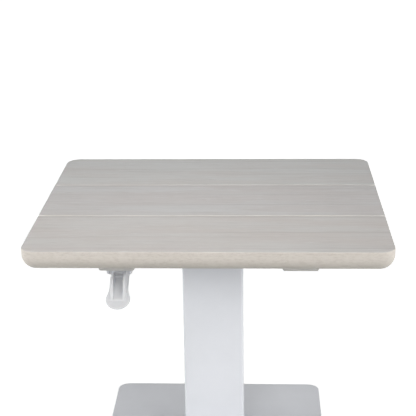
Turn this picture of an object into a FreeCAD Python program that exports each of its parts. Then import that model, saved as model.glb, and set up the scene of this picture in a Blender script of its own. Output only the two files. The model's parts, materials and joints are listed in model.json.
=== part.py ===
import FreeCAD, Part
import math
import os
import re

import Sketcher
from FreeCAD import Placement, Rotation, Vector

# Height-adjustable pedestal table at its lowest setting. Millimetres and degrees.
# +Z is up, the user sits on the -Y side, +X is the user's right.
# The origin is on the floor under the middle of the column.

sizes = {
    # Tabletop: one board pressed with a film, two grooves make it look like three planks
    "top_width": 600.0,
    "top_depth": 520.0,
    "top_thickness": 36.0,
    "top_corner": 25.0,
    "top_upper_round": 2.0,
    "top_lower_round": 24.0,
    "groove_width": 3.0,
    "groove_depth": 1.5,
    "table_height": 490.0,
    # Base plate on four rubber feet
    "base_width": 416.0,
    "base_depth": 402.0,
    "base_thickness": 8.0,
    "base_corner": 22.0,
    "base_round": 1.5,
    "foot_diameter": 36.0,
    "foot_height": 8.0,
    "foot_inset": 45.0,
    "foot_round": 1.5,
    "foot_recess": 4.5,
    "foot_bite": 6.0,
    # Column: two rectangular tubes with plastic glides between them
    "tube_width": 110.0,
    "tube_depth": 70.0,
    "tube_wall": 2.0,
    "tube_corner": 5.0,
    "head_gap": 39.0,
    "inner_corner": 3.0,
    "glide_thickness": 3.0,
    "glide_lip": 3.0,
    "glide_height": 40.0,
    "rest_gap": 6.0,
    "collar_flange": 4.0,
    "collar_skirt": 30.0,
    "collar_round": 1.2,
    "foot_plate_thickness": 8.0,
    "base_bolt_x": 36.0,
    "base_bolt_y": 20.0,
    # Lockable gas spring inside the column
    "cylinder_diameter": 28.0,
    "cylinder_wall": 2.0,
    "cylinder_headroom": 58.0,
    "stop_length": 30.0,
    "plug_height": 20.0,
    "plug_bite": 14.0,
    "plug_spare": 1.5,
    "gas_gap": 10.0,
    "piston_height": 18.0,
    "seal_height": 6.0,
    "guide_height": 14.0,
    "rod_diameter": 10.0,
    "rod_proud": 0.5,
    "nut_height": 4.5,
    "nut_flats": 16.0,
    "pin_diameter": 3.0,
    "pin_proud": 2.2,
    "valve_depth": 3.0,
    # Rails and the pan that carry the tabletop
    "rail_width": 60.0,
    "rail_height": 22.0,
    "rail_wall": 1.5,
    "rail_corner": 4.0,
    "rail_spacing": 304.0,
    "rail_setback": 62.0,
    "rail_screw_gap": 28.0,
    "cap_flange": 3.0,
    "cap_insert": 8.0,
    "cap_round": 1.5,
    "pan_depth": 130.0,
    "pan_sheet": 3.0,
    "pan_lip": 20.0,
    "pan_screw_x": 80.0,
    # Squeeze lever under the front left of the tabletop, and its bracket
    "lever_inset": 2.0,
    "pivot_setback": 85.0,
    "pivot_drop": 9.0,
    "lever_rest_angle": 34.5,
    "lever_swing": 25.0,
    "lever_length": 71.2,
    "lever_width": 32.0,
    "paddle_radius": 20.6,
    "neck_radius": 59.0,
    "dish_start": 37.0,
    "dish_radius": 190.0,
    "web_drop": 8.0,
    "web_thickness": 4.0,
    "web_round": 1.8,
    "barrel_radius": 6.0,
    "rib_spacing": 19.5,
    "rib_thickness": 3.0,
    "rib_length": 55.0,
    "rib_flank": 12.0,
    "rib_draft": 1.0,
    "knee_length": 25.0,
    "knee_rise": 11.0,
    "nipple_offset": 11.0,
    "nipple_diameter": 5.0,
    "nipple_length": 8.0,
    "nipple_wall": 3.0,
    "bracket_width": 40.0,
    "bracket_sheet": 2.5,
    "ear_thickness": 3.5,
    "bracket_front": 6.5,
    "bracket_rear": 27.0,
    "bracket_screw_x": 9.0,
    "bracket_screw_y": 14.0,
    "ear_drop": 5.0,
    "ear_round": 4.5,
    "tab_width": 28.0,
    "tab_edge": 8.0,
    "hinge_pin_diameter": 5.0,
    "hinge_pin_head": 9.0,
    "hinge_pin_cap": 1.5,
    # Release cable and the arm that presses the gas spring's pin
    "wire_diameter": 1.5,
    "wire_bore": 2.2,
    "wire_slot": 2.6,
    "wire_gap": 1.3,
    "sheath_diameter": 5.0,
    "ferrule_diameter": 7.0,
    "ferrule_flange_diameter": 11.0,
    "ferrule_flange": 3.0,
    "ferrule_nose": 4.5,
    "ferrule_body": 12.0,
    "ferrule_socket": 8.0,
    "cable_lead": 40.0,
    "cable_lever_bend": 60.0,
    "cable_head_bend": 27.0,
    "head_wire_offset": 90.0,
    "arm_pivot_offset": 30.0,
    "arm_width": 16.0,
    "arm_thickness": 3.0,
    "arm_eye": 5.0,
    "arm_end": 7.0,
    "clevis_length": 14.0,
    "clevis_sheet": 2.0,
    # Fasteners
    "bolt_diameter": 8.0,
    "bolt_head": 14.0,
    "bolt_head_height": 4.2,
    "screw_diameter": 5.0,
    "screw_head": 10.0,
    "screw_head_height": 3.0,
    "screw_bite": 15.0,
    "small_screw_diameter": 4.0,
    "small_screw_head": 8.0,
    "small_screw_head_height": 2.5,
    "small_screw_tail": 4.0,
    # Clearances on each side
    "running_gap": 0.3,
    "fit_gap": 0.1,
    "pin_gap": 0.08,
}

places = {
    "base_top": "foot_height + base_thickness",
    "plate_top": "base_top + foot_plate_thickness",
    "foot_x": "base_width / 2 - foot_inset",
    "foot_y": "base_depth / 2 - foot_inset",
    "top_bottom": "table_height - top_thickness",
    "rail_bottom": "top_bottom - rail_height",
    "tube_top": "rail_bottom - head_gap",
    "rail_middle": "rail_bottom + rail_height / 2",
    "rail_tube": "top_depth - 2 * rail_setback - 2 * cap_flange",
    "pan_floor": "rail_bottom + pan_sheet",
    "pan_screw_y": "pan_depth / 2 + pan_lip / 2",
    "bore_width": "tube_width - 2 * tube_wall",
    "bore_depth": "tube_depth - 2 * tube_wall",
    "bore_corner": "tube_corner - tube_wall",
    "inner_width": "bore_width - 2 * glide_thickness",
    "inner_depth": "bore_depth - 2 * glide_thickness",
    "inner_bottom": "plate_top + rest_gap + glide_lip",
    "cylinder_bore": "cylinder_diameter - 2 * cylinder_wall",
    "cylinder_length": "rail_bottom - cylinder_headroom - plate_top",
    "guide_bottom": "plate_top + cylinder_length - cylinder_wall - guide_height",
    "piston_bottom": "plate_top + plug_height + gas_gap",
    "lift_stroke": "guide_bottom - seal_height - stop_length - piston_bottom - piston_height",
    "rod_top": "pan_floor + nut_height + rod_proud",
    "pin_top": "rod_top + pin_proud",
    "arm_middle": "pin_top + running_gap + arm_thickness / 2",
    "pivot_x": "lever_inset - rail_spacing / 2",
    "pivot_y": "pivot_setback - top_depth / 2",
    "pivot_z": "rail_bottom - pivot_drop",
    "rail_screw_y": "-(pivot_y + bracket_rear + rail_screw_gap)",
    "nipple_back": "nipple_offset * sin(lever_swing / 2)",
    "nipple_drop": "nipple_offset * (1 + cos(lever_swing / 2)) / 2",
    "wire_pull": "2 * nipple_back",
    "sheath_depth": "ferrule_flange + ferrule_body - ferrule_socket",
}

# Room left above the cable's lowest corner, per unit of bend radius: a turn of up to 105 degrees
bend_room = 1.3
# Hexagon socket of a screw: flats per head diameter, depth per head height
socket_flats = 0.4
socket_depth = 0.6
# Edges closer than this to a plane lie in it
flatness = 1e-4

doc = FreeCAD.newDocument("pedestal_table")
dims = doc.addObject("Spreadsheet::Sheet", "dims")
levels = doc.addObject("Spreadsheet::Sheet", "levels")
sub_parts = []


def cells(formula, home=""):
    """Put the sheet's name in front of every size named in a formula."""
    def full_name(match):
        word = match.group(0)
        sheet = "dims" if word in sizes else "levels" if word in places else home
        return word if sheet == home else f"{sheet}.{word}"
    return re.sub(r"[a-z_]+", full_name, str(formula))


def number(formula):
    value = dims.evalExpression(cells(formula))
    return float(getattr(value, "Value", value))


def fill_sheets():
    for row, (name, value) in enumerate(sizes.items(), start=1):
        dims.set(f"A{row}", name)
        dims.set(f"B{row}", str(value))
        dims.setAlias(f"B{row}", name)
    for row, (name, formula) in enumerate(places.items(), start=1):
        levels.set(f"A{row}", name)
        levels.set(f"B{row}", "=" + cells(formula, "levels"))
        levels.setAlias(f"B{row}", name)
    doc.recompute()


def new_body(label, x="0", y="0", z="0", turn_about=None, angle="0"):
    body = doc.addObject("PartDesign::Body", label)
    body.Label = label
    if turn_about:
        body.Placement = Placement(Vector(), Rotation(turn_about, number(angle)))
        body.setExpression("Placement.Rotation.Angle", cells(angle))
    for axis, formula in zip("xyz", (x, y, z)):
        body.setExpression(f"Placement.Base.{axis}", cells(formula))
    sub_parts.append(body)
    return body


def new_sketch(body, plane, offset="0"):
    sketch = body.newObject("Sketcher::SketchObject", f"{body.Name}_sketch")
    support = next(item for item in body.Origin.OriginFeatures if item.Role == plane)
    sketch.AttachmentSupport = (support, "")
    sketch.MapMode = "FlatFace"
    sketch.setExpression("AttachmentOffset.Base.z", cells(offset))
    return sketch


def add_size(sketch, kind, where, formula):
    """One dimension of a sketch, tied to the sheet."""
    index = sketch.addConstraint(Sketcher.Constraint(kind, *where, number(formula)))
    name = f"size_{index}"
    sketch.renameConstraint(index, name)
    sketch.setExpression(f"Constraints.{name}", cells(formula))


def arc_between(start, end, radius):
    """Arc from start to end; the centre is on the left for a positive radius."""
    chord = end - start
    left = Vector(-chord.y, chord.x, 0).normalize()
    rise = math.sqrt(max(radius ** 2 - chord.Length ** 2 / 4, 0))
    centre = (start + end) / 2 + left * math.copysign(rise, radius)
    first, last = (start, end) if radius > 0 else (end, start)
    angles = [math.atan2(point.y - centre.y, point.x - centre.x) for point in (first, last)]
    return Part.ArcOfCircle(Part.Circle(centre, Vector(0, 0, 1), abs(radius)), *angles)


def draw_outline(sketch, corners):
    """Closed outline. A corner is (x, y), or (x, y, radius) where the side after it is an arc."""
    points = [Vector(number(corner[0]), number(corner[1]), 0) for corner in corners]
    sides = []
    for index, corner in enumerate(corners):
        start, end = points[index], points[(index + 1) % len(points)]
        if len(corner) == 2:
            geometry, ends = Part.LineSegment(start, end), (1, 2)
        else:
            radius = number(corner[2])
            geometry, ends = arc_between(start, end, radius), (1, 2) if radius > 0 else (2, 1)
        sides.append((sketch.addGeometry(geometry, False), ends))
    for index, (side, ends) in enumerate(sides):
        last_side, last_ends = sides[index - 1]
        sketch.addConstraint(Sketcher.Constraint("Coincident", last_side, last_ends[1], side, ends[0]))
    for corner, (side, ends) in zip(corners, sides):
        add_size(sketch, "DistanceX", (-1, 1, side, ends[0]), corner[0])
        add_size(sketch, "DistanceY", (-1, 1, side, ends[0]), corner[1])
        if len(corner) == 3:
            add_size(sketch, "Radius", (side,), f"abs({corner[2]})")


def draw_circles(sketch, spots, diameter):
    for x, y in spots:
        circle = Part.Circle(Vector(number(x), number(y), 0), Vector(0, 0, 1), number(diameter) / 2)
        index = sketch.addGeometry(circle, False)
        add_size(sketch, "DistanceX", (-1, 1, index, 3), x)
        add_size(sketch, "DistanceY", (-1, 1, index, 3), y)
        add_size(sketch, "Diameter", (index,), diameter)


def draw_rectangle(sketch, low_x, low_y, high_x, high_y):
    draw_outline(sketch, [(low_x, low_y), (high_x, low_y), (high_x, high_y), (low_x, high_y)])


def draw_rounded(sketch, width, depth, radius, x="0"):
    """Rectangle with round corners, centred on x."""
    right, top = f"{x} + ({width}) / 2", f"({depth}) / 2"
    left, bottom = f"{x} - ({width}) / 2", f"-({depth}) / 2"
    round_corner = f"({radius})"
    draw_outline(sketch, [
        (f"{left} + {round_corner}", bottom),
        (f"{right} - {round_corner}", bottom, radius),
        (right, f"{bottom} + {round_corner}"),
        (right, f"{top} - {round_corner}", radius),
        (f"{right} - {round_corner}", top),
        (f"{left} + {round_corner}", top, radius),
        (left, f"{top} - {round_corner}"),
        (left, f"{bottom} + {round_corner}", radius),
    ])


def draw_hexagon(sketch, flats, x="0", y="0"):
    corners = []
    for step in range(6):
        across, along = math.cos(math.radians(60 * step)), math.sin(math.radians(60 * step))
        reach = f"({flats}) / sqrt(3)"
        corners.append((f"{x} + {reach} * {across:.9f}", f"{y} + {reach} * {along:.9f}"))
    draw_outline(sketch, corners)


def extrude(kind, body, sketch, length, both_ways=False, backwards=False):
    feature = body.newObject(f"PartDesign::{kind}", f"{body.Name}_{kind.lower()}")
    feature.Profile = sketch
    feature.SideType = "Symmetric" if both_ways else "One side"
    feature.Reversed = backwards
    feature.setExpression("Length", cells(length))
    return feature


def pad(body, sketch, length, **ways):
    return extrude("Pad", body, sketch, length, **ways)


def pocket(body, sketch, length, **ways):
    """Cut that must take something away."""
    doc.recompute()
    before = body.Shape.Volume
    feature = extrude("Pocket", body, sketch, length, **ways)
    doc.recompute()
    if feature.Shape.Volume >= before:
        raise RuntimeError(f"{feature.Name} cuts nothing")
    return feature


def round_edges(body, radius, wanted):
    """Round the edges of the body so far for which wanted(edge) holds."""
    doc.recompute()
    base = body.Tip
    names = [f"Edge{index}" for index, edge in enumerate(base.Shape.Edges, start=1) if wanted(edge)]
    if not names:
        raise RuntimeError(f"{body.Name} has no edge to round")
    feature = body.newObject("PartDesign::Fillet", f"{body.Name}_round")
    feature.Base = (base, names)
    feature.setExpression("Radius", cells(radius))
    return feature


def in_plane(axis, formula):
    """Test for edges that lie in one plane of their body, such as ("z", "top_thickness")."""
    value = number(formula)
    low, high = f"{axis.upper()}Min", f"{axis.upper()}Max"

    def wanted(edge):
        box = edge.BoundBox
        return abs(getattr(box, low) - value) < flatness and abs(getattr(box, high) - value) < flatness
    return wanted


def runs_across(axis, edge):
    """True for an edge square to an axis."""
    return getattr(edge.BoundBox, f"{axis.upper()}Length") < flatness


def turned(label, profile, x="0", y="0", z="0", turn_about=None, angle="0"):
    """Part turned about its own Z axis from half a section of (radius, height) corners."""
    body = new_body(label, x, y, z, turn_about, angle)
    sketch = new_sketch(body, "XZ_Plane")
    draw_outline(sketch, profile)
    feature = body.newObject("PartDesign::Revolution", f"{label}_turn")
    feature.Profile = sketch
    feature.ReferenceAxis = (sketch, ["V_Axis"])
    return body


def tube_section(radius, bore, low, high):
    return [(bore, low), (radius, low), (radius, high), (bore, high)]


def fasteners(label, spots, seat, shank, length, head, head_height):
    """Identical screws seen from below: heads under the seat, shanks up, hexagon sockets."""
    body = new_body(label, z=seat)
    heads = new_sketch(body, "XY_Plane")
    draw_circles(heads, spots, head)
    pad(body, heads, head_height, backwards=True)
    round_edges(body, f"{head_height} / 3", in_plane("z", f"-({head_height})"))
    shanks = new_sketch(body, "XY_Plane")
    draw_circles(shanks, spots, shank)
    pad(body, shanks, length)
    sockets = new_sketch(body, "XY_Plane", f"-({head_height})")
    for x, y in spots:
        draw_hexagon(sockets, f"{head} * {socket_flats}", x, y)
    pocket(body, sockets, f"{head_height} * {socket_depth}", backwards=True)
    return body


def mirrored_spots(x, y):
    return [(f"{x_sign}({x})", f"{y_sign}({y})") for x_sign in "+-" for y_sign in "+-"]


foot_spots = mirrored_spots("foot_x", "foot_y")
base_bolt_spots = mirrored_spots("base_bolt_x", "base_bolt_y")
pan_screw_spots = mirrored_spots("pan_screw_x", "pan_screw_y")
rail_screw_rows = ["-rail_screw_y", "0", "rail_screw_y"]
rail_screw_spots = [(f"{side}rail_spacing / 2", row) for side in "-+" for row in rail_screw_rows]
bracket_screw_spots = [(f"pivot_x {side} bracket_screw_x", "pivot_y + bracket_screw_y") for side in "-+"]
bolt_hole = "bolt_diameter + 2 * fit_gap"
screw_hole = "screw_diameter + 2 * fit_gap"
small_screw_hole = "small_screw_diameter + 2 * fit_gap"
hinge_hole = "hinge_pin_diameter + 2 * pin_gap"


def make_base_plate():
    body = new_body("base_plate", z="foot_height")
    outline = new_sketch(body, "XY_Plane")
    draw_rounded(outline, "base_width", "base_depth", "base_corner")
    pad(body, outline, "base_thickness")
    round_edges(body, "base_round", in_plane("z", "base_thickness"))
    holes = new_sketch(body, "XY_Plane")
    draw_circles(holes, base_bolt_spots + [("0", "0")], bolt_hole)
    pocket(body, holes, "base_thickness", backwards=True)
    foot_holes = new_sketch(body, "XY_Plane")
    draw_circles(foot_holes, foot_spots, screw_hole)
    pocket(body, foot_holes, "foot_bite + fit_gap", backwards=True)


def make_feet():
    body = new_body("foot_pads")
    pads = new_sketch(body, "XY_Plane")
    draw_circles(pads, foot_spots, "foot_diameter")
    pad(body, pads, "foot_height")
    round_edges(body, "foot_round", in_plane("z", "0"))
    recesses = new_sketch(body, "XY_Plane")
    draw_circles(recesses, foot_spots, "screw_head + 2 * running_gap")
    pocket(body, recesses, "foot_recess", backwards=True)
    holes = new_sketch(body, "XY_Plane")
    draw_circles(holes, foot_spots, screw_hole)
    pocket(body, holes, "foot_height", backwards=True)
    fasteners("foot_screws", foot_spots, "foot_recess", "screw_diameter",
              "foot_height - foot_recess + foot_bite", "screw_head", "screw_head_height")


def ring_sketch(body, outer, inner, offset="0"):
    """Outline and hole of a rectangular tube, each as (width, depth, corner)."""
    sketch = new_sketch(body, "XY_Plane", offset)
    draw_rounded(sketch, *outer)
    draw_rounded(sketch, *inner)
    return sketch


tube_outline = ("tube_width", "tube_depth", "tube_corner")
bore_outline = ("bore_width", "bore_depth", "bore_corner")
inner_outline = ("inner_width", "inner_depth", "inner_corner")
inner_bore = ("inner_width - 2 * tube_wall", "inner_depth - 2 * tube_wall", "inner_corner - tube_wall / 2")


def grown(outline, gap):
    width, depth, corner = outline
    return f"{width} + 2 * ({gap})", f"{depth} + 2 * ({gap})", f"{corner} + ({gap})"


def make_column_foot():
    body = new_body("column_foot_plate", z="base_top")
    outline = new_sketch(body, "XY_Plane")
    draw_rounded(outline, *grown(bore_outline, "-fit_gap"))
    pad(body, outline, "foot_plate_thickness")
    holes = new_sketch(body, "XY_Plane")
    draw_circles(holes, base_bolt_spots + [("0", "0")], bolt_hole)
    pocket(body, holes, "foot_plate_thickness", backwards=True)
    fasteners("base_bolts", base_bolt_spots, "foot_height", "bolt_diameter",
              "base_thickness + foot_plate_thickness", "bolt_head", "bolt_head_height")
    fasteners("cylinder_bolt", [("0", "0")], "foot_height", "bolt_diameter",
              "base_thickness + foot_plate_thickness + plug_bite", "bolt_head", "bolt_head_height")


def make_tubes():
    outer = new_body("outer_tube", z="base_top")
    pad(outer, ring_sketch(outer, tube_outline, bore_outline), "tube_top - base_top")
    inner = new_body("inner_tube", z="inner_bottom")
    pad(inner, ring_sketch(inner, inner_outline, inner_bore), "rail_bottom - inner_bottom")


def make_glides():
    opening = grown(inner_outline, "running_gap")
    collar = new_body("upper_glide_collar", z="tube_top")
    pad(collar, ring_sketch(collar, tube_outline, opening), "collar_flange")
    skirt = ring_sketch(collar, grown(bore_outline, "-fit_gap"), opening)
    pad(collar, skirt, "collar_skirt", backwards=True)
    at_top = in_plane("z", "collar_flange")
    hole = FreeCAD.BoundBox(*[number(f"{sign}({size}) / 2") for sign in "-+" for size in (*opening[:2], "0")])
    hole.enlarge(number("glide_thickness / 2"))
    round_edges(collar, "collar_round", lambda edge: at_top(edge) and not hole.isInside(edge.CenterOfMass))
    ring = new_body("lower_glide_ring", z="plate_top + rest_gap")
    running = grown(bore_outline, "-running_gap")
    pad(ring, ring_sketch(ring, running, inner_bore), "glide_lip")
    sleeve = ring_sketch(ring, running, grown(inner_outline, "fit_gap"), "glide_lip")
    pad(ring, sleeve, "glide_height")


def make_gas_spring():
    bore, wall = "cylinder_bore / 2", "cylinder_diameter / 2"
    rod_gap = "rod_diameter / 2 + running_gap"
    turned("gas_cylinder", [
        (bore, "0"), (wall, "0"), (wall, "cylinder_length"), (rod_gap, "cylinder_length"),
        (rod_gap, "cylinder_length - cylinder_wall"), (bore, "cylinder_length - cylinder_wall"),
    ], z="plate_top")
    thread = f"({bolt_hole}) / 2"
    plug_bore = "plug_bite + plug_spare"
    turned("cylinder_end_plug", [
        (thread, "0"), (f"{bore} - fit_gap", "0"), (f"{bore} - fit_gap", "plug_height"),
        ("0", "plug_height"), ("0", plug_bore), (thread, plug_bore),
    ], z="plate_top")
    fixed, sliding = f"{bore} - fit_gap", "rod_diameter / 2 + pin_gap"
    turned("rod_guide", tube_section(fixed, sliding, "0", "guide_height"), z="guide_bottom")
    turned("rod_seal", tube_section(fixed, sliding, "-seal_height", "0"), z="guide_bottom")
    turned("stop_sleeve", tube_section(fixed, rod_gap, "0", "stop_length"),
           z="piston_bottom + piston_height + lift_stroke")
    rod, rod_seat, rod_bore = "rod_diameter / 2", "rod_diameter / 2 + fit_gap", "pin_diameter / 2 + fit_gap"
    turned("piston", tube_section(f"{bore} - running_gap", rod_seat, "0", "piston_height"), z="piston_bottom")
    turned("piston_rod", tube_section(rod, rod_bore, "piston_bottom", "rod_top"))
    pin = "pin_diameter / 2"
    pin_foot = "piston_bottom + valve_depth"
    turned("valve_pin", [("0", pin_foot), (pin, pin_foot), (pin, "pin_top"), ("0", "pin_top")])
    nuts = new_body("rod_nuts")
    for offset, backwards in (("pan_floor", False), ("rail_bottom", True)):
        sketch = new_sketch(nuts, "XY_Plane", offset)
        draw_hexagon(sketch, "nut_flats")
        draw_circles(sketch, [("0", "0")], "rod_diameter + 2 * fit_gap")
        pad(nuts, sketch, "nut_height", backwards=backwards)


def make_tabletop():
    body = new_body("tabletop", z="top_bottom")
    outline = new_sketch(body, "XY_Plane")
    draw_rounded(outline, "top_width", "top_depth", "top_corner")
    pad(body, outline, "top_thickness")
    round_edges(body, "top_lower_round", in_plane("z", "0"))
    round_edges(body, "top_upper_round", in_plane("z", "top_thickness"))
    grooves = new_sketch(body, "YZ_Plane")
    for side in "-+":
        middle = f"{side}top_depth / 6"
        draw_outline(grooves, [
            (f"{middle} - groove_width / 2", "top_thickness"),
            (middle, "top_thickness - groove_depth"),
            (f"{middle} + groove_width / 2", "top_thickness"),
        ])
    pocket(body, grooves, "top_width", both_ways=True)
    for spots, diameter in ((rail_screw_spots, screw_hole), (pan_screw_spots, small_screw_hole)):
        pilots = new_sketch(body, "XY_Plane")
        draw_circles(pilots, spots, diameter)
        pocket(body, pilots, "screw_bite + fit_gap", backwards=True)


rail_outline = ("rail_width", "rail_height", "rail_corner")


def make_rail(label, side):
    body = new_body(label, f"{side}rail_spacing / 2", z="rail_middle")
    section = new_sketch(body, "XZ_Plane")
    draw_rounded(section, *rail_outline)
    draw_rounded(section, *grown(rail_outline, "-rail_wall"))
    pad(body, section, "rail_tube", both_ways=True)
    holes = new_sketch(body, "XY_Plane")
    draw_circles(holes, [("0", row) for row in rail_screw_rows], screw_hole)
    pocket(body, holes, "2 * rail_height", both_ways=True)
    return body


def make_rails():
    left = make_rail("left_rail", "-")
    make_rail("right_rail", "+")
    bracket_holes = new_sketch(left, "XY_Plane", "-rail_height / 2")
    local_spots = [(f"{x} + rail_spacing / 2", y) for x, y in bracket_screw_spots]
    draw_circles(bracket_holes, local_spots, small_screw_hole)
    pocket(left, bracket_holes, "2 * rail_wall", backwards=True)
    fasteners("rail_screws", rail_screw_spots, "rail_bottom", "screw_diameter",
              "rail_height + screw_bite", "screw_head", "screw_head_height")


def make_end_caps():
    body = new_body("rail_end_caps", z="rail_middle")
    rail_sides = ["-rail_spacing / 2", "rail_spacing / 2"]
    for offset, rear in (("rail_tube / 2", False), ("-rail_tube / 2", True)):
        flanges = new_sketch(body, "XZ_Plane", offset)
        inserts = new_sketch(body, "XZ_Plane", offset)
        for middle in rail_sides:
            draw_rounded(flanges, *rail_outline, middle)
            draw_rounded(inserts, *grown(rail_outline, "-rail_wall - fit_gap"), middle)
        pad(body, flanges, "cap_flange", backwards=rear)
        pad(body, inserts, "cap_insert", backwards=not rear)
    front, back = (in_plane("y", f"{sign}(rail_tube / 2 + cap_flange)") for sign in "-+")
    round_edges(body, "cap_round", lambda edge: front(edge) or back(edge))


def make_pan():
    body = new_body("head_pan", z="rail_bottom")
    section = new_sketch(body, "YZ_Plane")
    wall, lip, low_lip = "pan_depth / 2", "pan_depth / 2 + pan_lip", "rail_height - pan_sheet"
    inside = "(pan_depth / 2 - pan_sheet)"
    draw_outline(section, [
        (f"-{wall}", "0"), (wall, "0"), (wall, low_lip), (lip, low_lip), (lip, "rail_height"),
        (inside, "rail_height"), (inside, "pan_sheet"), (f"-{inside}", "pan_sheet"),
        (f"-{inside}", "rail_height"), (f"-({lip})", "rail_height"), (f"-({lip})", low_lip),
        (f"-{wall}", low_lip),
    ])
    pad(body, section, "rail_spacing - rail_width", both_ways=True)
    at_floor = in_plane("z", "0")
    round_edges(body, "pan_sheet", lambda edge: at_floor(edge) and runs_across("y", edge))
    rod_hole = new_sketch(body, "XY_Plane")
    draw_circles(rod_hole, [("0", "0")], "rod_diameter + 2 * fit_gap")
    draw_circles(rod_hole, [("-head_wire_offset", "0")], "ferrule_diameter + 2 * fit_gap")
    pocket(body, rod_hole, "pan_sheet", backwards=True)
    lip_holes = new_sketch(body, "XY_Plane", low_lip)
    draw_circles(lip_holes, pan_screw_spots, small_screw_hole)
    pocket(body, lip_holes, "pan_sheet", backwards=True)
    fasteners("pan_screws", pan_screw_spots, "top_bottom - pan_sheet", "small_screw_diameter",
              "pan_sheet + screw_bite", "small_screw_head", "small_screw_head_height")


def rivet(label, grip, x, y, z, turn_about):
    """Hinge pin with a flat head at both ends of its grip."""
    head, shank = "hinge_pin_head / 2", "hinge_pin_diameter / 2"
    end, tip = f"({grip}) / 2", f"({grip}) / 2 + hinge_pin_cap"
    turned(label, [
        ("0", f"-({tip})"), (head, f"-({tip})"), (head, f"-{end}"), (shank, f"-{end}"),
        (shank, end), (head, end), (head, tip), ("0", tip),
    ], x, y, z, turn_about, "90")


def make_lever_bracket():
    body = new_body("lever_bracket", "pivot_x", "pivot_y", "pivot_z")
    section = new_sketch(body, "XZ_Plane", "-bracket_rear")
    side, inside = "bracket_width / 2", "(bracket_width / 2 - ear_thickness)"
    draw_outline(section, [
        (f"-{side}", "-ear_drop"), (f"-{inside}", "-ear_drop"), (f"-{inside}", "pivot_drop - bracket_sheet"),
        (inside, "pivot_drop - bracket_sheet"), (inside, "-ear_drop"), (side, "-ear_drop"),
        (side, "pivot_drop"), (f"-{side}", "pivot_drop"),
    ])
    pad(body, section, "bracket_front + bracket_rear")
    low = in_plane("z", "-ear_drop")
    round_edges(body, "ear_round", lambda edge: low(edge) and runs_across("y", edge))
    tab = new_sketch(body, "XZ_Plane", "-bracket_rear")
    draw_rectangle(tab, "-tab_width / 2", "-nipple_drop - tab_edge", "tab_width / 2", "pivot_drop")
    pad(body, tab, "bracket_sheet")
    pin_hole = new_sketch(body, "YZ_Plane")
    draw_circles(pin_hole, [("0", "0")], hinge_hole)
    pocket(body, pin_hole, "2 * bracket_width", both_ways=True)
    ferrule_hole = new_sketch(body, "XZ_Plane", "-bracket_rear")
    draw_circles(ferrule_hole, [("0", "-nipple_drop")], "ferrule_diameter + 2 * fit_gap")
    pocket(body, ferrule_hole, "bracket_sheet", backwards=True)
    screw_holes = new_sketch(body, "XY_Plane", "pivot_drop")
    draw_circles(screw_holes, [(f"{side}bracket_screw_x", "bracket_screw_y") for side in "-+"], small_screw_hole)
    pocket(body, screw_holes, "bracket_sheet")
    fasteners("bracket_screws", bracket_screw_spots, "rail_bottom - bracket_sheet", "small_screw_diameter",
              "bracket_sheet + rail_wall + small_screw_tail", "small_screw_head", "small_screw_head_height")
    rivet("lever_pin", "bracket_width", "pivot_x", "pivot_y", "pivot_z", Vector(0, 1, 0))


def draw_lever_outline(sketch):
    """Straight arm that swells into a round paddle."""
    arm, both = "lever_width / 2", "(paddle_radius + neck_radius)"
    middle = "paddle_radius - lever_length"
    rise = f"sqrt({both}^2 - (lever_width / 2 + neck_radius)^2)"
    touch_x = f"paddle_radius * (lever_width / 2 + neck_radius) / {both}"
    touch_y = f"{middle} + paddle_radius * {rise} / {both}"
    neck_y = f"{middle} + {rise}"
    draw_outline(sketch, [
        (f"-{arm}", "barrel_radius"), (f"-{arm}", neck_y, "-neck_radius"),
        (f"-{touch_x}", touch_y, "paddle_radius"), ("0", "-lever_length", "paddle_radius"),
        (touch_x, touch_y, "-neck_radius"), (arm, neck_y), (arm, "barrel_radius"),
    ])


rib_foot = "(lever_width - web_thickness) / 2"


def make_rib_section(body, side, along, crest):
    """One rib drawn across the lever at one place along it: steep inside, sloping outside."""
    sketch = new_sketch(body, "XZ_Plane", along)
    inner, outer = "(rib_spacing - rib_thickness) / 2", "(rib_spacing + rib_thickness) / 2"
    low, deep = f"{crest} - rib_flank", f"{crest} - 2 * rib_flank"
    corners = [(f"{inner} - rib_draft", deep), (rib_foot, deep), (rib_foot, low), (outer, crest), (inner, crest)]
    draw_outline(sketch, [(f"{side}({x})", z) for x, z in corners])
    return sketch


def make_ribs(body):
    """Two ribs that rise from the paddle to a knee and run back to the hinge, cut off inside the web."""
    for side in "-+":
        stations = [("0", "barrel_radius"), ("knee_length", "knee_rise"), ("rib_length", "-web_drop")]
        hinge_end, *rest = [make_rib_section(body, side, along, crest) for along, crest in stations]
        rib = body.newObject("PartDesign::AdditiveLoft", f"{body.Name}_rib")
        rib.Profile = hinge_end
        rib.Sections = rest
        rib.Ruled = True
    below = new_sketch(body, "YZ_Plane")
    draw_rectangle(below, "-2 * rib_length", "-web_drop - 3 * rib_flank", "2 * barrel_radius",
                   "-web_drop - web_thickness / 2")
    pocket(body, below, "2 * lever_width", both_ways=True)


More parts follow.
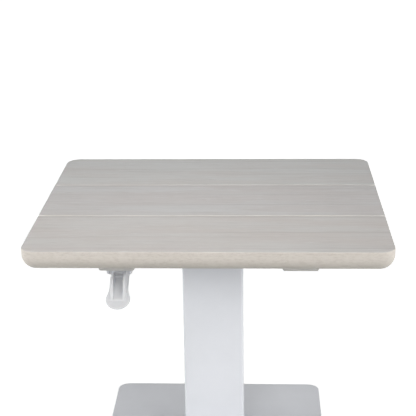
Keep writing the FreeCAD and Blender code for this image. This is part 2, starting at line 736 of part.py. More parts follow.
def make_web(body):
    """Plate under the ribs that curls up at the paddle, cut to the lever's outline."""
    side = new_sketch(body, "YZ_Plane")
    high, low, past = "-web_drop", "-web_drop - web_thickness", "(lever_length + web_thickness)"
    run = f"({past} - dish_start)"
    top_end = f"{high} + dish_radius - sqrt(dish_radius^2 - {run}^2)"
    low_end = f"{high} + dish_radius - sqrt((dish_radius + web_thickness)^2 - {run}^2)"
    draw_outline(side, [
        ("2 * barrel_radius", low), ("2 * barrel_radius", high), ("-dish_start", high, "-dish_radius"),
        (f"-{past}", top_end), (f"-{past}", low_end, "dish_radius + web_thickness"), ("-dish_start", low),
    ])
    pad(body, side, "4 * paddle_radius", both_ways=True)
    trim = new_sketch(body, "XY_Plane")
    draw_rectangle(trim, "-3 * paddle_radius", "-2 * lever_length", "3 * paddle_radius", "lever_length")
    draw_lever_outline(trim)
    pocket(body, trim, "2 * lever_length", both_ways=True)
    foot, rib_end = number(rib_foot) + flatness, -number("rib_length")
    at_rear = in_plane("y", "barrel_radius")

    def on_rim(edge):
        middle = edge.CenterOfMass
        beside = not runs_across("y", edge) and (abs(middle.x) > foot or middle.y < rib_end)
        return beside or (at_rear(edge) and runs_across("z", edge))
    round_edges(body, "web_round", on_rim)


def make_lever():
    body = new_body("release_lever", "pivot_x", "pivot_y", "pivot_z", Vector(1, 0, 0), "lever_rest_angle")
    make_ribs(body)
    make_web(body)
    barrel = new_sketch(body, "YZ_Plane")
    draw_circles(barrel, [("0", "0")], "2 * barrel_radius")
    pad(body, barrel, "bracket_width - 2 * ear_thickness - 2 * running_gap", both_ways=True)
    hang = "(lever_rest_angle - lever_swing / 2)"
    nipple_y, nipple_z = f"-nipple_offset * sin({hang})", f"-nipple_offset * cos({hang})"
    nipple_bore = "nipple_diameter + wire_gap"
    holder = new_sketch(body, "YZ_Plane")
    reach = f"(({nipple_bore}) / 2 + nipple_wall)"
    draw_rectangle(holder, f"{nipple_y} - {reach}", f"{nipple_z} - {reach}", f"{nipple_y} + {reach}",
                   f"{nipple_z} + {reach}")
    pad(body, holder, "rib_spacing - rib_thickness", both_ways=True)
    bore = new_sketch(body, "YZ_Plane", "nipple_length / 2 + running_gap")
    draw_circles(bore, [(nipple_y, nipple_z)], nipple_bore)
    pocket(body, bore, "lever_width")
    slot = new_sketch(body, "YZ_Plane")
    draw_rectangle(slot, nipple_y, f"{nipple_z} - 2 * {reach}", f"{nipple_y} + 2 * {reach}",
                   f"{nipple_z} + wire_diameter")
    pocket(body, slot, "wire_slot", both_ways=True)
    pin_hole = new_sketch(body, "YZ_Plane")
    draw_circles(pin_hole, [("0", "0")], hinge_hole)
    pocket(body, pin_hole, "2 * bracket_width", both_ways=True)


def ferrule_section():
    """Seat at height 0, nose up through the sheet, sheath socket at the bottom."""
    shell, bore, socket = "ferrule_diameter / 2", "wire_bore / 2", "sheath_diameter / 2 + fit_gap"
    flange, end = "ferrule_flange_diameter / 2", "-(ferrule_flange + ferrule_body)"
    return [
        (socket, end), (shell, end), (shell, "-ferrule_flange"), (flange, "-ferrule_flange"), (flange, "0"),
        (shell, "0"), (shell, "ferrule_nose"), (bore, "ferrule_nose"), (bore, "-sheath_depth"),
        (socket, "-sheath_depth"),
    ]


def make_ferrules():
    turned("head_cable_ferrule", ferrule_section(), "-head_wire_offset", "0", "rail_bottom")
    turned("lever_cable_ferrule", ferrule_section(), "pivot_x", "pivot_y + bracket_rear",
           "pivot_z - nipple_drop", Vector(1, 0, 0), "90")


def make_wires():
    body = new_body("lever_wire", "pivot_x", "pivot_y + nipple_back", "pivot_z - nipple_drop")
    strand = new_sketch(body, "XZ_Plane")
    draw_circles(strand, [("0", "0")], "wire_diameter")
    pad(body, strand, "bracket_rear + sheath_depth - nipple_back - wire_gap", backwards=True)
    barrel = new_sketch(body, "YZ_Plane")
    draw_circles(barrel, [("0", "0")], "nipple_diameter")
    pad(body, barrel, "nipple_length", both_ways=True)
    strand_foot = "rail_bottom - sheath_depth + wire_pull + wire_gap"
    seat = "arm_middle + arm_thickness / 2 + running_gap"
    strand, nipple, top = "wire_diameter / 2", "nipple_diameter / 2", f"{seat} + nipple_diameter"
    turned("head_wire", [
        ("0", strand_foot), (strand, strand_foot), (strand, seat), (nipple, seat), (nipple, top), ("0", top),
    ], "-head_wire_offset")


def rounded_path(points, radii):
    """Straight runs through the points, with a tangent arc of the given radius at each inner one."""
    edges = []
    start = points[0]
    for before, corner, after, radius in zip(points, points[1:], points[2:], radii):
        arriving, leaving = (corner - before).normalize(), (after - corner).normalize()
        setback = radius * math.tan(arriving.getAngle(leaving) / 2)
        first, last = corner - arriving * setback, corner + leaving * setback
        inward = (leaving - arriving).normalize()
        to_centre = math.hypot(radius, setback)
        edges.append(Part.makeLine(start, first))
        edges.append(Part.Arc(first, corner + inward * (to_centre - radius), last).toShape())
        start = last
    edges.append(Part.makeLine(start, points[-1]))
    return Part.Wire(edges)


def make_cable():
    """Sheath with its wire inside, held by a ferrule at each end."""
    start = Vector(number("pivot_x"), number("pivot_y + bracket_rear + sheath_depth"),
                   number("pivot_z - nipple_drop"))
    end = Vector(-number("head_wire_offset"), 0, number("rail_bottom - sheath_depth"))
    low_z = number(f"rail_bottom - ferrule_flange - ferrule_body - {bend_room} * cable_head_bend")
    points = [start, start + Vector(0, number("cable_lead"), 0), Vector(end.x, end.y, low_z), end]
    path = rounded_path(points, [number("cable_lever_bend"), number("cable_head_bend")])
    circle = Part.makeCircle(number("sheath_diameter") / 2, points[0], Vector(0, 1, 0))
    cable = doc.addObject("Part::Feature", "release_cable")
    cable.Label = "release_cable"
    cable.Shape = path.makePipeShell([Part.Wire(circle)], True, True)
    sub_parts.append(cable)


def make_release_arm():
    body = new_body("release_arm", "arm_pivot_offset", "0", "arm_middle")
    far = "-(arm_pivot_offset + head_wire_offset + arm_end)"
    bar = new_sketch(body, "XZ_Plane")
    draw_rectangle(bar, far, "-arm_thickness / 2", "0", "arm_thickness / 2")
    pad(body, bar, "arm_width", both_ways=True)
    slot = new_sketch(body, "XY_Plane")
    wire_x = "-(arm_pivot_offset + head_wire_offset)"
    draw_rectangle(slot, f"2 * {far}", "-wire_slot / 2", f"{wire_x} + wire_slot / 2", "wire_slot / 2")
    pocket(body, slot, "2 * arm_thickness", both_ways=True)
    eye = new_sketch(body, "XZ_Plane")
    draw_circles(eye, [("0", "0")], "2 * arm_eye")
    pad(body, eye, "arm_width", both_ways=True)
    pin_hole = new_sketch(body, "XZ_Plane")
    draw_circles(pin_hole, [("0", "0")], hinge_hole)
    pocket(body, pin_hole, "2 * arm_width", both_ways=True)


def make_release_bracket():
    body = new_body("release_bracket", "arm_pivot_offset", "0", "pan_floor")
    section = new_sketch(body, "YZ_Plane")
    inside = "(arm_width / 2 + running_gap)"
    side, height = "(arm_width / 2 + running_gap + clevis_sheet)", "arm_middle - pan_floor + arm_eye"
    draw_outline(section, [
        (f"-{side}", "0"), (side, "0"), (side, height), (inside, height), (inside, "clevis_sheet"),
        (f"-{inside}", "clevis_sheet"), (f"-{inside}", height), (f"-{side}", height),
    ])
    pad(body, section, "clevis_length", both_ways=True)
    top = in_plane("z", height)
    round_edges(body, "arm_eye", lambda edge: top(edge) and runs_across("x", edge))
    pin_hole = new_sketch(body, "XZ_Plane")
    draw_circles(pin_hole, [("0", "arm_middle - pan_floor")], hinge_hole)
    pocket(body, pin_hole, "2 * arm_width", both_ways=True)
    rivet("release_arm_pin", f"2 * {side}", "arm_pivot_offset", "0", "arm_middle", Vector(1, 0, 0))


def write_parts():
    doc.recompute()
    for item in doc.Objects:
        if "Invalid" in item.State or "Error" in item.State:
            raise RuntimeError(f"{item.Name} is {item.State}")
    os.makedirs("parts", exist_ok=True)
    for part in sub_parts:
        if part.Shape.isNull() or not part.Shape.isValid():
            raise RuntimeError(f"{part.Label} has no valid shape")
        part.Shape.exportStep(f"parts/{part.Label}.step")
        print(part.Label, len(part.Shape.Solids), "solids", round(part.Shape.Volume), "mm3")


fill_sheets()
make_base_plate()
make_feet()
make_column_foot()
make_tubes()
make_glides()
make_gas_spring()
make_tabletop()
make_rails()
make_end_caps()
make_pan()
make_lever_bracket()
make_lever()
make_ferrules()
make_wires()
make_cable()
make_release_arm()
make_release_bracket()
write_parts()
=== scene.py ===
import json
import math

import bpy
from mathutils import Matrix, Vector


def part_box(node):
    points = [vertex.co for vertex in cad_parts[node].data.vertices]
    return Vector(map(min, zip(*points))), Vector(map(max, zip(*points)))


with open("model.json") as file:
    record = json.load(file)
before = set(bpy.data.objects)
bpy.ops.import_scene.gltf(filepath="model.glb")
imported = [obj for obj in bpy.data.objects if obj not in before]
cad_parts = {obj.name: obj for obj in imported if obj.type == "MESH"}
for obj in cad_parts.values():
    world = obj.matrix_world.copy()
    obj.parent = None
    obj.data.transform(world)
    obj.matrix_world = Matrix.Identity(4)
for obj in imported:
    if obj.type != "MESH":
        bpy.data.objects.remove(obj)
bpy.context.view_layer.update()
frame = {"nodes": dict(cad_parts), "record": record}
pieces = frame["nodes"]


# a socket takes a number, a colour or the output of another node
def fillSockets(tree, node, sockets):
    for name, value in sockets.items():
        if isinstance(value, bpy.types.NodeSocket):
            tree.links.new(value, node.inputs[name])
        else:
            node.inputs[name].default_value = value


def addNode(tree, kind, sockets=None, **settings):
    node = tree.nodes.new("ShaderNode" + kind)
    for name, value in settings.items():
        setattr(node, name, value)
    fillSockets(tree, node, sockets or {})
    return node


def calc(tree, operation, *values):
    return addNode(tree, "Math", dict(enumerate(values)), operation=operation).outputs[0]


def ramp(tree, value, low, high, newLow=0.0, newHigh=1.0):
    sockets = {"Value": value, "From Min": low, "From Max": high, "To Min": newLow, "To Max": newHigh}
    return addNode(tree, "MapRange", sockets, interpolation_type="SMOOTHSTEP").outputs[0]


def blend(tree, share, first, second, kind="MIX"):
    sockets = {0: share, 6: first, 7: second}  # the sockets of a colour mix
    return addNode(tree, "Mix", sockets, data_type="RGBA", blend_type=kind).outputs[2]


def colour(tone):
    return (*tone, 1.0)


def stretched(tree, vector, scale, turn=(0, 0, 0)):
    return addNode(tree, "Mapping", {"Vector": vector, "Rotation": turn, "Scale": scale}).outputs[0]


def noise(tree, vector, scale=1.0, detail=2.0, rough=0.5):
    sockets = {"Vector": vector, "Scale": scale, "Detail": detail, "Roughness": rough}
    return addNode(tree, "TexNoise", sockets).outputs["Fac"]


# noise drawn out, with a scale of its own on each axis
def drawnNoise(tree, vector, look):
    drawn = stretched(tree, vector, look["stretch"])
    return noise(tree, drawn, detail=look["detail"], rough=look["rough"])


def bump(tree, height, strength, distance):
    return addNode(tree, "Bump", {"Height": height, "Strength": strength, "Distance": distance}).outputs[0]


def newGroup(name, inputs, outputs):
    group = bpy.data.node_groups.new(name, "ShaderNodeTree")
    group.interface.new_socket("Vector", in_out="INPUT", socket_type="NodeSocketVector")
    for socketName, value in inputs.items():
        socket = group.interface.new_socket(socketName, in_out="INPUT", socket_type="NodeSocketFloat")
        socket.default_value = value
    for socketName in outputs:
        group.interface.new_socket(socketName, in_out="OUTPUT", socket_type="NodeSocketFloat")
    return group, group.nodes.new("NodeGroupInput").outputs, group.nodes.new("NodeGroupOutput").inputs


def placeGroup(tree, group, sockets):
    node = addNode(tree, "Group", node_tree=group)
    fillSockets(tree, node, sockets)
    return node.outputs


# relief of a coating or a moulding: soft orange peel with fine sand on it
def makeToothGroup():
    inputs = {"Peel": 700.0, "Sand": 3000.0, "Sand Share": 0.3}
    group, given, result = newGroup("surfaceTooth", inputs, ["Height"])
    peel = noise(group, given["Vector"], given["Peel"], detail=1)
    sand = noise(group, given["Vector"], given["Sand"], detail=2)
    height = calc(group, "MULTIPLY_ADD", sand, given["Sand Share"], peel)
    group.links.new(height, result["Height"])
    return group


# handling marks: slow clouds in the sheen and a few hairline scratches
marksLook = {
    "cloudScale": 9.0,
    "cloudRange": (0.3, 0.7),
    "scratchStretch": (14, 900, 900),
    "scratchTurns": ((0.3, 0.5, 0.4), (1.1, 0.2, 2.0)),
    "scratchRange": (0.74, 0.80),
}


def makeMarksGroup(look):
    inputs = {"Cloud Scale": look["cloudScale"]}
    group, given, result = newGroup("handlingMarks", inputs, ["Cloud", "Scratches"])
    cloud = noise(group, given["Vector"], given["Cloud Scale"], detail=4, rough=0.6)
    group.links.new(ramp(group, cloud, *look["cloudRange"]), result["Cloud"])
    scratches = None
    for turn in look["scratchTurns"]:
        lines = noise(group, stretched(group, given["Vector"], look["scratchStretch"], turn), detail=1)
        found = ramp(group, lines, *look["scratchRange"])
        scratches = found if scratches is None else calc(group, "MAXIMUM", scratches, found)
    group.links.new(scratches, result["Scratches"])
    return group


# rubbed edges: where the rounded normal leaves the real one, broken up by noise
rubLook = {
    "radius": 0.0008,
    "samples": 6,
    "edgeRange": (0.98, 0.80),  # how well the two normals match
    "patchScale": 180.0,
    "patchRange": (0.35, 0.62),
}


def makeEdgeGroup(look):
    group, given, result = newGroup("rubbedEdges", {"Radius": look["radius"]}, ["Rub"])
    rounded = addNode(group, "Bevel", {"Radius": given["Radius"]}, samples=look["samples"]).outputs[0]
    real = addNode(group, "NewGeometry").outputs["Normal"]
    match = addNode(group, "VectorMath", {0: rounded, 1: real}, operation="DOT_PRODUCT").outputs["Value"]
    edge = ramp(group, match, *look["edgeRange"])
    patches = ramp(group, noise(group, given["Vector"], look["patchScale"], detail=3), *look["patchRange"])
    group.links.new(calc(group, "MULTIPLY", edge, patches), result["Rub"])
    return group


toothGroup = makeToothGroup()
marksGroup = makeMarksGroup(marksLook)
edgeGroup = makeEdgeGroup(rubLook)
print("shared effects ready:", len(bpy.data.node_groups))


def newFinish(name, uniform):
    finish = bpy.data.materials.new(name)
    finish.use_nodes = True
    tree = finish.node_tree
    shader = tree.nodes["Principled BSDF"]
    fillSockets(tree, shader, uniform)
    return finish, tree, shader, addNode(tree, "TexCoord").outputs


# wood-look film over the board: wavy streaks along X, cream on the rounded edge, white backer below
# a range is the two levels between which an effect comes in, and then its least and most share
filmLook = {
    "uniform": {"Specular IOR Level": 0.35},
    "planks": 3,
    "paleTone": (0.546, 0.531, 0.516),
    "rosyTone": (0.531, 0.500, 0.480),
    "fleckTone": (0.630, 0.622, 0.613),
    "streakTone": (0.379, 0.354, 0.334),
    "plankTints": ((1.004, 1.004, 1.004), (0.988, 1.0, 1.020), (1.028, 1.055, 1.070)),  # front, middle, back
    "plankShift": (0.731, 5.3),  # so that planks differ: along the grain, and through the noise
    "sway": {"stretch": (3.5, 9, 1), "detail": 3, "rough": 0.55},
    "swayWidth": 0.022,
    "grain": {
        "bands": {"stretch": (3.5, 22, 1), "detail": 3, "rough": 0.55},
        "flecks": {"stretch": (28, 190, 1), "detail": 3, "rough": 0.6},
        "streaks": {"stretch": (9, 120, 1), "detail": 5, "rough": 0.62},
        "lines": {"stretch": (1.1, 84, 1), "detail": 3, "rough": 0.6},
        "ticks": {"stretch": (38, 230, 1), "detail": 2, "rough": 0.5},
        "fibres": {"stretch": (22, 900, 1), "detail": 3, "rough": 0.6},
    },
    "rosyRange": (0.36, 0.64),
    "fleckRange": (0.54, 0.74, 0, 0.45),
    "darkRanges": {
        "streaks": (0.50, 0.76, 0, 0.32),
        "lines": (0.50, 0.76, 0, 0.52),
        "ticks": (0.60, 0.86, 0, 0.50),
        "fibres": (0.52, 0.78, 0, 0.30),
    },
    # the edge, by how far the surface faces up
    "edgeTone": (0.672, 0.627, 0.572),
    "edgeShade": (0.546, 0.499, 0.444),
    # painted shade: the edge darkens toward this tone where it faces down
    "underShadeTone": (0.545, 0.512, 0.450),
    "edgeTurn": (0.82, 0.35),
    "underShadeTurn": (-0.10, -0.85, 0, 0.75),
    "edgeSpeckle": {"stretch": (115, 115, 320), "detail": 4, "rough": 0.7},
    "edgeSpeckleRange": (0.42, 0.68, 0, 0.62),
    "edgeLineRange": (0.48, 0.74, 0, 0.30),
    # painted shade on the rounded arris between top and edge, darkened toward the streak tone
    "arrisShadeTurn": (0.99, 0.90),
    "arrisShadeEnd": (0.10, 0.45),
    "arrisShadeShare": 0.20,
    # the two grooves
    "grooveTones": ((0.556, 0.526, 0.480), (0.474, 0.450, 0.418)),  # front, back
    "grooveEndTone": (0.740, 0.717, 0.680),
    "grooveEndReach": (0.016, 0.004),  # from the side of the top: starts, full
    "grooveHalf": 0.0021,
    "grooveLead": 0.0007,  # the near lip catches the light too
    "grooveBreaks": {"stretch": (9, 3, 1), "detail": 4, "rough": 0.65},
    "grooveBreakRange": (0.36, 0.58, 0.15, 1.0),
    # painted shade in front of each groove
    "lipShadeShare": 0.26,
    "lipShadeReach": (0.013, 0.008, 0.003),  # in front of the groove: starts, full, ends
    # the backer
    "backerTone": (0.740, 0.735, 0.720),
    "backerTurn": (-0.96, -0.99),
    "backerSpeckle": 900.0,
    "backerSpeckleRange": (0.3, 0.7, 0, 0.12),
    # sheen and relief
    "sheen": (0.46, 0.58),
    "sheenRange": (0.3, 0.7),
    "edgePolish": 0.12,
    "cloudScale": 7.0,
    "cloudSheen": 0.06,
    "scratchSheen": 0.06,
    "fibreRelief": 0.6,
    "relief": (0.35, 0.00025),
}


# the film runs on over the edge, so its pattern follows it down
def wrapFilm(tree, place, facing, drop):
    wrapped = []
    for axis in "XY":
        outward = calc(tree, "MULTIPLY", calc(tree, "SIGN", place[axis]), drop)
        wrapped.append(calc(tree, "MULTIPLY_ADD", calc(tree, "ABSOLUTE", facing[axis]), outward, place[axis]))
    return wrapped


def filmGrain(tree, look, along, across, row):
    alongShift, layerShift = look["plankShift"]
    layer = calc(tree, "MULTIPLY", row, layerShift)
    shifted = calc(tree, "MULTIPLY_ADD", row, alongShift, along)
    flat = addNode(tree, "CombineXYZ", {0: shifted, 1: across, 2: layer}).outputs[0]
    sway = drawnNoise(tree, flat, look["sway"])
    swayed = calc(tree, "MULTIPLY_ADD", sway, look["swayWidth"], across)
    grain = addNode(tree, "CombineXYZ", {0: shifted, 1: swayed, 2: layer}).outputs[0]
    return {name: drawnNoise(tree, grain, drawing) for name, drawing in look["grain"].items()}


def filmTone(tree, look, grain, row):
    rosy = ramp(tree, grain["bands"], *look["rosyRange"])
    tone = blend(tree, rosy, colour(look["paleTone"]), colour(look["rosyTone"]))
    flecks = ramp(tree, grain["flecks"], *look["fleckRange"])
    tone = blend(tree, flecks, tone, colour(look["fleckTone"]))
    for name, darkRange in look["darkRanges"].items():
        tone = blend(tree, ramp(tree, grain[name], *darkRange), tone, colour(look["streakTone"]))
    for plank, tint in enumerate(look["plankTints"]):
        onPlank = calc(tree, "COMPARE", row, plank, 0.5)  # rows are whole numbers
        tone = blend(tree, onPlank, tone, colour(tint), "MULTIPLY")
    return tone


# fine speckle over cream, with painted shade where the edge turns under and faces down
def filmEdgeTone(tree, look, coords, facing, grain):
    speckle = ramp(tree, drawnNoise(tree, coords["Object"], look["edgeSpeckle"]), *look["edgeSpeckleRange"])
    tone = blend(tree, speckle, colour(look["edgeTone"]), colour(look["edgeShade"]))
    lines = ramp(tree, grain["lines"], *look["edgeLineRange"])
    tone = blend(tree, lines, tone, colour(look["edgeShade"]))
    # painted shade where the edge faces down
    underShade = ramp(tree, facing["Z"], *look["underShadeTurn"])
    return blend(tree, underShade, tone, colour(look["underShadeTone"]))


# the grooves show the film stretched pale, broken here and there and brighter at their ends
# painted shade on the film just in front of each groove
def filmGrooves(tree, look, tone, place, drop, plankDepth, side):
    isBack = calc(tree, "GREATER_THAN", place["Y"], 0.0)
    middle = calc(tree, "MULTIPLY_ADD", isBack, plankDepth, -plankDepth / 2)
    behind = calc(tree, "SUBTRACT", place["Y"], middle)
    fromGroove = calc(tree, "ABSOLUTE", calc(tree, "ADD", behind, look["grooveLead"]))
    nearTop = calc(tree, "LESS_THAN", drop, 2 * look["grooveHalf"])

    # painted shade just in front of the groove
    lipStart, lipFull, lipEnd = look["lipShadeReach"]
    lipShade = ramp(tree, behind, -lipStart, -lipFull, 0, look["lipShadeShare"])
    lipShade = calc(tree, "MULTIPLY", lipShade, calc(tree, "LESS_THAN", behind, -lipEnd))
    tone = blend(tree, calc(tree, "MULTIPLY", lipShade, nearTop), tone, colour(look["streakTone"]))

    front, back = look["grooveTones"]
    line = blend(tree, isBack, colour(front), colour(back))
    run = addNode(tree, "CombineXYZ", {0: place["X"], 1: isBack}).outputs[0]
    worn = ramp(tree, drawnNoise(tree, run, look["grooveBreaks"]), *look["grooveBreakRange"])
    endStart, endFull = look["grooveEndReach"]
    ends = ramp(tree, calc(tree, "ABSOLUTE", place["X"]), side - endStart, side - endFull)
    line = blend(tree, ends, line, colour(look["grooveEndTone"]))
    shown = calc(tree, "MAXIMUM", worn, ends)
    inGroove = calc(tree, "MULTIPLY", calc(tree, "LESS_THAN", fromGroove, look["grooveHalf"]), nearTop)
    return blend(tree, calc(tree, "MULTIPLY", inGroove, shown), tone, line)


def makeGrainedFilm(look):
    finish, tree, shader, coords = newFinish("grainedFilm", look["uniform"])
    low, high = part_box("tabletop")
    plankDepth = (high.y - low.y) / look["planks"]
    place = addNode(tree, "SeparateXYZ", {0: coords["Object"]}).outputs
    facing = addNode(tree, "SeparateXYZ", {0: coords["Normal"]}).outputs
    drop = calc(tree, "SUBTRACT", high.z, place["Z"])
    along, across = wrapFilm(tree, place, facing, drop)
    row = calc(tree, "FLOOR", calc(tree, "DIVIDE", calc(tree, "SUBTRACT", place["Y"], low.y), plankDepth))
    grain = filmGrain(tree, look, along, across, row)

    onEdge = ramp(tree, facing["Z"], *look["edgeTurn"])
    edgeColour = filmEdgeTone(tree, look, coords, facing, grain)
    tone = blend(tree, onEdge, filmTone(tree, look, grain, row), edgeColour)
    # painted shade on the arris
    arrisShadeTurn = ramp(tree, facing["Z"], *look["arrisShadeTurn"])
    arrisShade = calc(tree, "MULTIPLY", arrisShadeTurn, ramp(tree, facing["Z"], *look["arrisShadeEnd"]))
    tone = blend(tree, calc(tree, "MULTIPLY", arrisShade, look["arrisShadeShare"]), tone, colour(look["streakTone"]))
    tone = filmGrooves(tree, look, tone, place, drop, plankDepth, high.x)

    speckle = noise(tree, coords["Object"], look["backerSpeckle"], detail=3)
    speckle = ramp(tree, speckle, *look["backerSpeckleRange"])
    backerColour = blend(tree, speckle, colour(look["backerTone"]), colour(look["streakTone"]))
    tone = blend(tree, ramp(tree, facing["Z"], *look["backerTurn"]), tone, backerColour)

    marks = placeGroup(tree, marksGroup, {"Vector": coords["Object"], "Cloud Scale": look["cloudScale"]})
    sheen = ramp(tree, grain["fibres"], *look["sheenRange"], *look["sheen"])
    sheen = calc(tree, "MULTIPLY_ADD", marks["Cloud"], look["cloudSheen"], sheen)
    sheen = calc(tree, "MULTIPLY_ADD", onEdge, -look["edgePolish"], sheen)
    relief = calc(tree, "MULTIPLY_ADD", grain["fibres"], look["fibreRelief"], grain["lines"])
    fillSockets(tree, shader, {
        "Base Color": tone,
        "Roughness": calc(tree, "MULTIPLY_ADD", marks["Scratches"], look["scratchSheen"], sheen),
        "Normal": bump(tree, relief, *look["relief"]),
    })
    return finish


# coatings, plastics and rubber: tone with clouds, rubbed edges, tooth and scratches
coatingLooks = {
    "white_powder_coat": {
        "tone": (0.800, 0.815, 0.850), "cloudTone": (0.770, 0.785, 0.818), "edgeTone": (0.850, 0.860, 0.885),
        "edgeShare": 0.5, "edgeRadius": 0.0010, "sheen": (0.38, 0.50),
        "peel": 620.0, "sand": 2600.0, "sandShare": 0.25, "relief": (0.30, 0.00012),
    },
    "white_plastic": {
        "tone": (0.750, 0.757, 0.772), "cloudTone": (0.718, 0.725, 0.740), "edgeTone": (0.830, 0.836, 0.848),
        "edgeShare": 0.6, "edgeRadius": 0.0008, "sheen": (0.40, 0.55),
        "peel": 1500.0, "sand": 5200.0, "sandShare": 0.8, "relief": (0.25, 0.00008),
        "uniform": {  # a little light goes through
            "Subsurface Weight": 0.45, "Subsurface Radius": (1.0, 0.95, 0.9), "Subsurface Scale": 0.006,
        },
    },
    "grey_plastic": {
        "tone": (0.715, 0.694, 0.663), "cloudTone": (0.672, 0.652, 0.623), "edgeTone": (0.750, 0.735, 0.710),
        "edgeShare": 0.6, "edgeRadius": 0.0008, "sheen": (0.42, 0.56),
        "peel": 1300.0, "sand": 4600.0, "sandShare": 0.7, "relief": (0.25, 0.00008),
    },
    "glide_plastic": {
        "tone": (0.600, 0.605, 0.610), "cloudTone": (0.540, 0.545, 0.550), "edgeTone": (0.690, 0.695, 0.700),
        "edgeShare": 0.6, "edgeRadius": 0.0008, "sheen": (0.35, 0.50),
        "peel": 1100.0, "sand": 4200.0, "sandShare": 0.6, "relief": (0.25, 0.00008),
    },
    "black_rubber": {
        "tone": (0.022, 0.022, 0.023), "cloudTone": (0.040, 0.039, 0.037), "edgeTone": (0.095, 0.092, 0.088),
        "edgeShare": 0.7, "edgeRadius": 0.0012, "sheen": (0.70, 0.90),
        "peel": 900.0, "sand": 3600.0, "sandShare": 0.9, "relief": (0.55, 0.00015),
    },
    "black_sheath": {
        "tone": (0.020, 0.020, 0.021), "cloudTone": (0.032, 0.032, 0.033), "edgeTone": (0.080, 0.080, 0.080),
        "edgeShare": 0.4, "edgeRadius": 0.0005, "sheen": (0.34, 0.50),
        "peel": 500.0, "sand": 4800.0, "sandShare": 0.4, "relief": (0.30, 0.00008),
    },
    "black_paint": {
        "tone": (0.018, 0.018, 0.019), "cloudTone": (0.030, 0.030, 0.031), "edgeTone": (0.300, 0.295, 0.290),
        "edgeShare": 0.6, "edgeRadius": 0.0006, "sheen": (0.22, 0.38),
        "peel": 420.0, "sand": 2600.0, "sandShare": 0.15, "relief": (0.22, 0.00010),
    },
}


def makeCoating(slot, look, scratchSheen=0.10):
    finish, tree, shader, coords = newFinish(slot, look.get("uniform", {}))
    marks = placeGroup(tree, marksGroup, {"Vector": coords["Object"]})
    rub = placeGroup(tree, edgeGroup, {"Vector": coords["Object"], "Radius": look["edgeRadius"]})["Rub"]
    tooth = placeGroup(tree, toothGroup, {
        "Vector": coords["Object"], "Peel": look["peel"],
        "Sand": look["sand"], "Sand Share": look["sandShare"],
    })
    tone = blend(tree, marks["Cloud"], colour(look["tone"]), colour(look["cloudTone"]))
    tone = blend(tree, calc(tree, "MULTIPLY", rub, look["edgeShare"]), tone, colour(look["edgeTone"]))
    smooth, dull = look["sheen"]
    sheen = calc(tree, "MULTIPLY_ADD", marks["Cloud"], dull - smooth, smooth)
    fillSockets(tree, shader, {
        "Base Color": tone,
        "Roughness": calc(tree, "MULTIPLY_ADD", marks["Scratches"], scratchSheen, sheen),
        "Normal": bump(tree, tooth["Height"], *look["relief"]),
    })
    return finish


# bare and plated metal: tinted patches, tool lines, brighter rubbed edges
metalLooks = {
    "zinc_steel": {
        "tone": (0.600, 0.612, 0.640), "patchTone": (0.660, 0.640, 0.590), "edgeTone": (0.800, 0.800, 0.800),
        "patchScale": 130.0, "sheen": (0.26, 0.44), "relief": (0.30, 0.00003),
        "toolLines": {"stretch": (220, 220, 2200), "detail": 3, "rough": 0.6},
    },
    "chromed_rod": {
        "tone": (0.770, 0.775, 0.785), "patchTone": (0.720, 0.725, 0.735), "edgeTone": (0.860, 0.860, 0.860),
        "patchScale": 40.0, "sheen": (0.05, 0.12), "relief": (0.30, 0.000006),
        "toolLines": {"stretch": (30, 30, 6000), "detail": 3, "rough": 0.6},
    },
    "plain_aluminium": {
        "tone": (0.700, 0.700, 0.710), "patchTone": (0.640, 0.640, 0.645), "edgeTone": (0.820, 0.820, 0.825),
        "patchScale": 60.0, "sheen": (0.24, 0.38), "relief": (0.30, 0.00003),
        "toolLines": {"stretch": (25, 25, 3200), "detail": 3, "rough": 0.6},
    },
}


def makeMetal(slot, look, edgeRadius=0.0005, scratchSheen=0.12):
    finish, tree, shader, coords = newFinish(slot, {"Metallic": 1.0})
    marks = placeGroup(tree, marksGroup, {"Vector": coords["Object"], "Cloud Scale": look["patchScale"]})
    rub = placeGroup(tree, edgeGroup, {"Vector": coords["Object"], "Radius": edgeRadius})["Rub"]
    lines = drawnNoise(tree, coords["Object"], look["toolLines"])
    tone = blend(tree, marks["Cloud"], colour(look["tone"]), colour(look["patchTone"]))
    tone = blend(tree, rub, tone, colour(look["edgeTone"]))
    smooth, dull = look["sheen"]
    sheen = calc(tree, "MULTIPLY_ADD", lines, dull - smooth, smooth)
    fillSockets(tree, shader, {
        "Base Color": tone,
        "Roughness": calc(tree, "MULTIPLY_ADD", marks["Scratches"], scratchSheen, sheen),
        "Normal": bump(tree, lines, *look["relief"]),
    })
    return finish


finishes = {"grained_film": makeGrainedFilm(filmLook)}
finishes.update({slot: makeCoating(slot, look) for slot, look in coatingLooks.items()})
finishes.update({slot: makeMetal(slot, look) for slot, look in metalLooks.items()})
for part in frame["record"]["subparts"]:
    for materialSlot in pieces[part["node"]].material_slots:
        materialSlot.material = finishes[part["material_slot"]]
print("finishes on the pieces:", len(finishes))


# sharp edges of bent sheet and mouldings get the small round that the real ones have
edgeRounds = {
    "release_lever": 0.0006, "lever_bracket": 0.0004, "head_pan": 0.0004,
    "release_arm": 0.0003, "release_bracket": 0.0003, "rod_nuts": 0.0004,
}


def softenEdges(piece, width, seam=0.00001, steps=3, sharpAngle=40):
    weld = piece.modifiers.new("join faces", "WELD")
    weld.merge_threshold = seam
    soft = piece.modifiers.new("soft edge", "BEVEL")
    soft.width = width
    soft.segments = steps
    soft.limit_method = "ANGLE"
    soft.angle_limit = math.radians(sharpAngle)
    soft.use_clamp_overlap = False
    piece.modifiers.new("even shading", "WEIGHTED_NORMAL")


for name, width in edgeRounds.items():
    softenEdges(pieces[name], width)
print("edges softened:", len(edgeRounds))


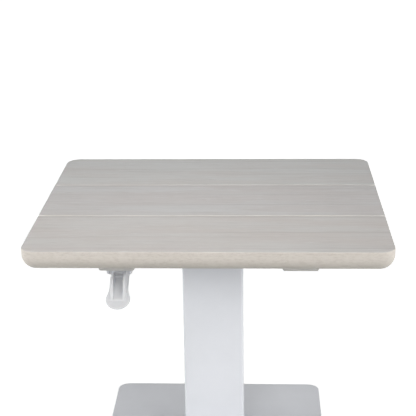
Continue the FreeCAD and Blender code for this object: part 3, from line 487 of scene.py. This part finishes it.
# pale floor, soft lamps, plain white behind the object
studio = {
    "white": (1, 1, 1),
    "floorSide": 30.0,
    "floorTone": (0.60, 0.60, 0.60),
    "floorRough": 0.9,
    "floorGlow": (0.75, 1.0),  # under the object, far off
    "glowReach": (0.6, 2.2),
    "ambient": 0.0,  # the lamps alone light the object
    "wideSpread": 180,
    "lamps": {
        "overTop": {
            "place": (-0.11, -0.6, 3.0), "aim": (-0.08, -0.1, 0.49), "size": 0.5, "power": 1.4, "spread": 40,
        },
        "highLeft": {"place": (-0.8, -1.7, 1.9), "aim": (0, -0.1, 0.45), "size": 0.9, "power": 8.4},
        "keyRight": {"place": (1.9, -2.6, 1.9), "aim": (0, 0, 0.4), "size": 1.6, "power": 33.0},
        "sideLeft": {"place": (-2.8, -0.8, 1.2), "aim": (0, 0, 0.4), "size": 1.6, "power": 47.0},
        "sideRight": {"place": (2.8, -0.8, 1.2), "aim": (0, 0, 0.4), "size": 1.6, "power": 44.5},
        "front": {"place": (-0.5, -2.8, 1.7), "aim": (-0.1, -0.1, 0.42), "size": 0.9, "power": 13.4},
    },
}


def seenDirectly(tree):
    path = addNode(tree, "LightPath").outputs
    mirrored = calc(tree, "MAXIMUM", path["Is Glossy Ray"], path["Is Transmission Ray"])
    return calc(tree, "MAXIMUM", path["Is Camera Ray"], mirrored)


def makeFloor(look):
    bpy.ops.mesh.primitive_plane_add(size=look["floorSide"])
    floor = bpy.context.object
    floor.name = "studioFloor"
    finish, tree, shader, coords = newFinish("studioFloor", {
        "Base Color": colour(look["floorTone"]), "Roughness": look["floorRough"],
        "Emission Color": colour(look["white"]),
    })
    away = addNode(tree, "VectorMath", {0: coords["Object"]}, operation="LENGTH").outputs["Value"]
    glow = ramp(tree, away, *look["glowReach"], *look["floorGlow"])
    glow = calc(tree, "MULTIPLY", seenDirectly(tree), glow)
    tree.links.new(glow, shader.inputs["Emission Strength"])
    # clear from below, so that the underside can be looked at
    fromBelow = addNode(tree, "NewGeometry").outputs["Backfacing"]
    clear = addNode(tree, "BsdfTransparent").outputs[0]
    oneSided = addNode(tree, "MixShader", {0: fromBelow, 1: shader.outputs[0], 2: clear}).outputs[0]
    tree.links.new(oneSided, tree.nodes["Material Output"].inputs["Surface"])
    floor.data.materials.append(finish)


def makeWorld(look):
    world = bpy.data.worlds.new("studioWorld")
    bpy.context.scene.world = world
    world.use_nodes = True
    tree = world.node_tree
    strength = ramp(tree, seenDirectly(tree), 0, 1, look["ambient"], 1.0)
    fillSockets(tree, tree.nodes["Background"], {"Color": colour(look["white"]), "Strength": strength})


def addLamp(name, look, wideSpread):
    data = bpy.data.lights.new(name, "AREA")
    data.shape = "DISK"
    data.size = look["size"]
    data.spread = math.radians(look.get("spread", wideSpread))
    data.energy = look["power"]
    lamp = bpy.data.objects.new(name, data)
    lamp.location = look["place"]
    lamp.rotation_euler = (Vector(look["aim"]) - lamp.location).to_track_quat("-Z", "Y").to_euler()
    bpy.context.scene.collection.objects.link(lamp)


makeFloor(studio)
makeWorld(studio)
for name, look in studio["lamps"].items():
    addLamp(name, look, studio["wideSpread"])
bpy.context.scene.view_settings.view_transform = "Standard"
print("studio lit by", len(studio["lamps"]), "lamps")


# seen from the front, a little above the top
cameraLook = {
    "place": (0.0790, -1.9315, 1.1365),
    "right": (0.9990917, 0.0403432, -0.0137167),
    "up": (-0.0001102, 0.3243481, 0.9459378),
    "lens": 98.2,
    "sensor": 36.0,
}


def makeCamera(look):
    data = bpy.data.cameras.new("photoCamera")
    data.lens = look["lens"]
    data.sensor_width = look["sensor"]
    camera = bpy.data.objects.new("photoCamera", data)
    right, up = Vector(look["right"]), Vector(look["up"])
    turn = Matrix((right, up, right.cross(up))).transposed()
    camera.matrix_world = Matrix.Translation(look["place"]) @ turn.to_4x4()
    bpy.context.scene.collection.objects.link(camera)
    bpy.context.scene.camera = camera


makeCamera(cameraLook)
print("camera placed")
